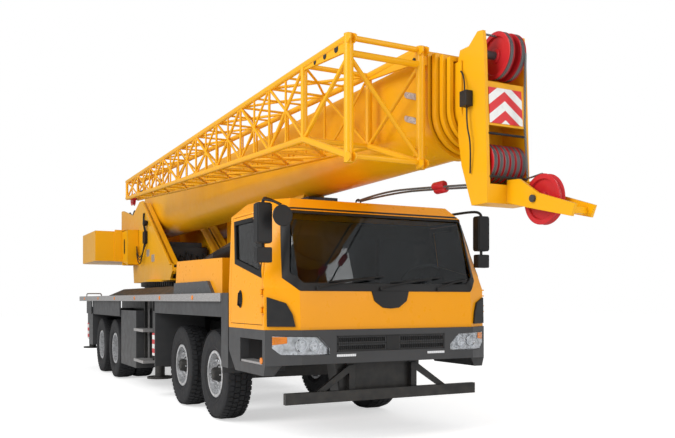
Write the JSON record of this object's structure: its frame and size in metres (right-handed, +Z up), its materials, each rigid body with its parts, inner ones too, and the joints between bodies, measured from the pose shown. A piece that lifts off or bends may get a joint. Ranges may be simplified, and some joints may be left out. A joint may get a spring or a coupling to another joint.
{
  "type": "mobile crane",
  "caption": "Truck-mounted mobile crane with a telescopic boom laid forward over the driver's cab, a lattice fly jib at its side, outriggers and a slewing superstructure.",
  "frame": {"origin": "on the ground below the middle of the whole machine", "axes": "+X forward, +Y to the vehicle's left, +Z up"},
  "size_m": [14.2, 3.16, 3.73],
  "materials": {
    "painted_frame": "satin",
    "dark_grey": "satin",
    "yellow": "gloss",
    "steel": "satin",
    "tyre": "matte",
    "rim_silver": "satin",
    "glass": "clear",
    "lamp": "clear",
    "black": "satin",
    "interior": "matte",
    "sheave_red": "satin",
    "chrome": "polished",
    "rope_grey": "oiled"
  },
  "bodies": {
    "carrier": {"chassis": "painted_frame", "deck": "steel", "side_lockers": "dark_grey", "steps": "steel", "mudguards": "dark_grey", "axles": "painted_frame", "engine": "rope_grey", "engine_hood": "yellow", "cab_shell": "yellow", "windscreen": "glass", "cab_interior": "interior", "front_bumper": "dark_grey", "headlamps": "lamp", "mirrors": "black"},
    "cab_door_right": {"cab_door_right": "yellow"},
    "cab_door_left": {"cab_door_left": "yellow"},
    "knuckle_1_left": {"knuckle_1_left": "painted_frame"},
    "wheel_1_left": {"tyre_1_left": "tyre", "rim_1_left": "rim_silver"},
    "knuckle_1_right": {"knuckle_1_right": "painted_frame"},
    "wheel_1_right": {"tyre_1_right": "tyre", "rim_1_right": "rim_silver"},
    "knuckle_2_left": {"knuckle_2_left": "painted_frame"},
    "wheel_2_left": {"tyre_2_left": "tyre", "rim_2_left": "rim_silver"},
    "knuckle_2_right": {"knuckle_2_right": "painted_frame"},
    "wheel_2_right": {"tyre_2_right": "tyre", "rim_2_right": "rim_silver"},
    "wheels_3_left": {"tyres_3_left": "tyre", "rims_3_left": "rim_silver"},
    "wheels_3_right": {"tyres_3_right": "tyre", "rims_3_right": "rim_silver"},
    "wheels_4_left": {"tyres_4_left": "tyre", "rims_4_left": "rim_silver"},
    "wheels_4_right": {"tyres_4_right": "tyre", "rims_4_right": "rim_silver"},
    "outrigger_beam_mid_right": {"outrigger_beam_mid_right": "painted_frame"},
    "outrigger_jack_mid_right": {"outrigger_jack_mid_right": "steel"},
    "outrigger_beam_mid_left": {"outrigger_beam_mid_left": "painted_frame"},
    "outrigger_jack_mid_left": {"outrigger_jack_mid_left": "steel"},
    "outrigger_beam_rear_right": {"outrigger_beam_rear_right": "painted_frame"},
    "outrigger_jack_rear_right": {"outrigger_jack_rear_right": "steel"},
    "outrigger_beam_rear_left": {"outrigger_beam_rear_left": "painted_frame"},
    "outrigger_jack_rear_left": {"outrigger_jack_rear_left": "steel"},
    "superstructure": {"turret_frame": "yellow", "counterweight": "yellow", "operator_cab": "yellow"},
    "operator_door": {"operator_door": "yellow"},
    "main_winch": {"main_winch": "rope_grey"},
    "aux_winch": {"aux_winch": "rope_grey"},
    "boom": {"boom_section_1": "yellow", "luffing_bracket": "yellow", "fly_jib": "yellow"},
    "boom_section_2": {"boom_section_2": "yellow"},
    "boom_section_3": {"boom_section_3": "yellow"},
    "boom_section_4": {"boom_section_4": "yellow"},
    "boom_section_5": {"boom_section_5": "yellow", "head_sheaves": "sheave_red"},
    "lift_cylinder": {"lift_cylinder": "painted_frame"},
    "lift_rod": {"lift_rod": "chrome"}
  },
  "joints": [
    {"name": "cab_door_right_hinge", "type": "hinge", "parent": "carrier", "child": "cab_door_right", "pos_m": [4.224, -1.374, 1.47], "axis": [0, 0, 1], "range_deg": [0, 65]},
    {"name": "cab_door_left_hinge", "type": "hinge", "parent": "carrier", "child": "cab_door_left", "pos_m": [4.224, 1.374, 1.47], "axis": [0, 0, 1], "range_deg": [-65, 0]},
    {"name": "steer_1_left", "type": "hinge", "parent": "carrier", "child": "knuckle_1_left", "pos_m": [2.2, 0.8, 0.561], "axis": [0, 0, 1], "range_deg": [-34, 34]},
    {"name": "wheel_1_left_spin", "type": "hinge", "parent": "knuckle_1_left", "child": "wheel_1_left", "pos_m": [2.2, 1.043, 0.561], "axis": [0, 1, 0], "continuous": true},
    {"name": "steer_1_right", "type": "hinge", "parent": "carrier", "child": "knuckle_1_right", "pos_m": [2.2, -0.8, 0.561], "axis": [0, 0, 1], "range_deg": [-34, 34]},
    {"name": "wheel_1_right_spin", "type": "hinge", "parent": "knuckle_1_right", "child": "wheel_1_right", "pos_m": [2.2, -1.043, 0.561], "axis": [0, 1, 0], "continuous": true},
    {"name": "steer_2_left", "type": "hinge", "parent": "carrier", "child": "knuckle_2_left", "pos_m": [0.75, 0.8, 0.561], "axis": [0, 0, 1], "range_deg": [-27, 27]},
    {"name": "wheel_2_left_spin", "type": "hinge", "parent": "knuckle_2_left", "child": "wheel_2_left", "pos_m": [0.75, 1.043, 0.561], "axis": [0, 1, 0], "continuous": true},
    {"name": "steer_2_right", "type": "hinge", "parent": "carrier", "child": "knuckle_2_right", "pos_m": [0.75, -0.8, 0.561], "axis": [0, 0, 1], "range_deg": [-27, 27]},
    {"name": "wheel_2_right_spin", "type": "hinge", "parent": "knuckle_2_right", "child": "wheel_2_right", "pos_m": [0.75, -1.043, 0.561], "axis": [0, 1, 0], "continuous": true},
    {"name": "wheels_3_left_spin", "type": "hinge", "parent": "carrier", "child": "wheels_3_left", "pos_m": [-3.6, 0.919, 0.561], "axis": [0, 1, 0], "continuous": true},
    {"name": "wheels_3_right_spin", "type": "hinge", "parent": "carrier", "child": "wheels_3_right", "pos_m": [-3.6, -0.919, 0.561], "axis": [0, 1, 0], "continuous": true},
    {"name": "wheels_4_left_spin", "type": "hinge", "parent": "carrier", "child": "wheels_4_left", "pos_m": [-4.95, 0.919, 0.561], "axis": [0, 1, 0], "continuous": true},
    {"name": "wheels_4_right_spin", "type": "hinge", "parent": "carrier", "child": "wheels_4_right", "pos_m": [-4.95, -0.919, 0.561], "axis": [0, 1, 0], "continuous": true},
    {"name": "outrigger_beam_mid_right_slide", "type": "slide", "parent": "carrier", "child": "outrigger_beam_mid_right", "axis": [0, -1, 0], "range_m": [0, 1.85]},
    {"name": "outrigger_jack_mid_right_slide", "type": "slide", "parent": "outrigger_beam_mid_right", "child": "outrigger_jack_mid_right", "axis": [0, 0, -1], "range_m": [0, 0.26]},
    {"name": "outrigger_beam_mid_left_slide", "type": "slide", "parent": "carrier", "child": "outrigger_beam_mid_left", "axis": [0, 1, 0], "range_m": [0, 1.85]},
    {"name": "outrigger_jack_mid_left_slide", "type": "slide", "parent": "outrigger_beam_mid_left", "child": "outrigger_jack_mid_left", "axis": [0, 0, -1], "range_m": [0, 0.26]},
    {"name": "outrigger_beam_rear_right_slide", "type": "slide", "parent": "carrier", "child": "outrigger_beam_rear_right", "axis": [0, -1, 0], "range_m": [0, 1.85]},
    {"name": "outrigger_jack_rear_right_slide", "type": "slide", "parent": "outrigger_beam_rear_right", "child": "outrigger_jack_rear_right", "axis": [0, 0, -1], "range_m": [0, 0.41]},
    {"name": "outrigger_beam_rear_left_slide", "type": "slide", "parent": "carrier", "child": "outrigger_beam_rear_left", "axis": [0, 1, 0], "range_m": [0, 1.85]},
    {"name": "outrigger_jack_rear_left_slide", "type": "slide", "parent": "outrigger_beam_rear_left", "child": "outrigger_jack_rear_left", "axis": [0, 0, -1], "range_m": [0, 0.41]},
    {"name": "slew", "type": "hinge", "parent": "carrier", "child": "superstructure", "pos_m": [-3.4, 0, 1.83], "axis": [0, 0, 1], "continuous": true},
    {"name": "operator_door_slide", "type": "slide", "parent": "superstructure", "child": "operator_door", "axis": [-1, 0, 0], "range_m": [0, 0.75]},
    {"name": "main_winch_spin", "type": "hinge", "parent": "superstructure", "child": "main_winch", "pos_m": [-5.7, 0, 3.24], "axis": [0, 1, 0], "continuous": true},
    {"name": "aux_winch_spin", "type": "hinge", "parent": "superstructure", "child": "aux_winch", "pos_m": [-6.18, 0, 3.24], "axis": [0, 1, 0], "continuous": true},
    {"name": "boom_luff", "type": "hinge", "parent": "superstructure", "child": "boom", "pos_m": [-4.6, 0, 3.3], "axis": [0, -1, 0], "range_deg": [0, 80]},
    {"name": "telescope_2", "type": "slide", "parent": "boom", "child": "boom_section_2", "axis": [1, 0, 0], "range_m": [0, 7.9]},
    {"name": "telescope_3", "type": "slide", "parent": "boom_section_2", "child": "boom_section_3", "axis": [1, 0, 0], "range_m": [0, 7.9]},
    {"name": "telescope_4", "type": "slide", "parent": "boom_section_3", "child": "boom_section_4", "axis": [1, 0, 0], "range_m": [0, 7.9]},
    {"name": "telescope_5", "type": "slide", "parent": "boom_section_4", "child": "boom_section_5", "axis": [1, 0, 0], "range_m": [0, 7.9]},
    {"name": "lift_cylinder_swing", "type": "hinge", "parent": "superstructure", "child": "lift_cylinder", "pos_m": [-2.2, 0, 2.01], "axis": [0, -1, 0], "range_deg": [0, 86.6]},
    {"name": "lift_rod_slide", "type": "slide", "parent": "lift_cylinder", "child": "lift_rod", "axis": [0.9909, 0, 0.1343], "range_m": [0, 3.454]}
  ],
  "couplings": [
    {"joint": "steer_1_right", "follows": "steer_1_left", "ratio": 1},
    {"joint": "steer_2_left", "follows": "steer_1_left", "ratio": 0.776},
    {"joint": "steer_2_right", "follows": "steer_1_left", "ratio": 0.776},
    {"joint": "lift_cylinder_swing", "follows": "boom_luff", "ratio": 1.0763},
    {"joint": "lift_rod_slide", "follows": "boom_luff", "m_per_rad": 2.4664}
  ]
}
